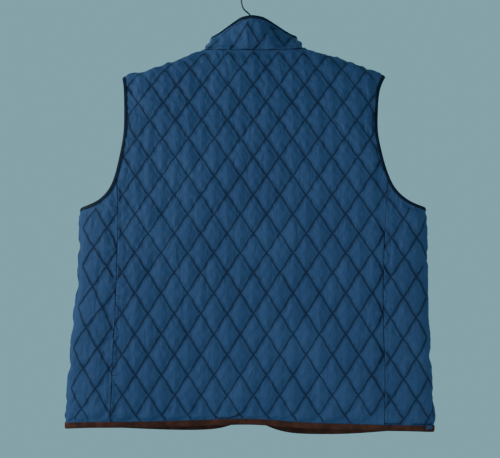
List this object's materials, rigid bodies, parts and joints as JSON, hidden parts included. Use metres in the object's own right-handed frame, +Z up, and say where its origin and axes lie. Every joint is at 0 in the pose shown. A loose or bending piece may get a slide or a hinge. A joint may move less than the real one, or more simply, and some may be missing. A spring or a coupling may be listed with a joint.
{
  "type": "quilted vest on hanger",
  "caption": "Sleeveless quilted vest with stand collar, bound edges and press-stud front, hung on a plain hanger by its wire hook.",
  "frame": {"origin": "inner top of the hook's bend, where a rail carries the hanger", "axes": "+Z up, +X to the wearer's right, -Y faced by the back of the vest, +Y by its buttoned front"},
  "size_m": [0.6735, 0.1612, 0.8505],
  "materials": {
    "quilted_cloth": "navy woven polyester with a satin sheen, quilted in diamonds",
    "navy_binding": "dark navy folded tape",
    "brown_binding": "dark brown matt folded tape",
    "stud_metal": "dark lacquered press-stud caps",
    "hanger_plastic": "black moulded bar",
    "hook_wire": "dark coated steel wire"
  },
  "bodies": {
    "root": {"back": "quilted_cloth", "front_left": "quilted_cloth", "front_right": "quilted_cloth", "collar": "quilted_cloth", "collar_binding": "navy_binding", "armhole_binding_left": "navy_binding", "armhole_binding_right": "navy_binding", "hem_binding": "brown_binding", "press_stud_1": "stud_metal", "press_stud_2": "stud_metal", "press_stud_3": "stud_metal", "press_stud_4": "stud_metal", "press_stud_5": "stud_metal", "press_stud_6": "stud_metal", "hanger": "hanger_plastic", "hook": "hook_wire"}
  },
  "joints": []
}
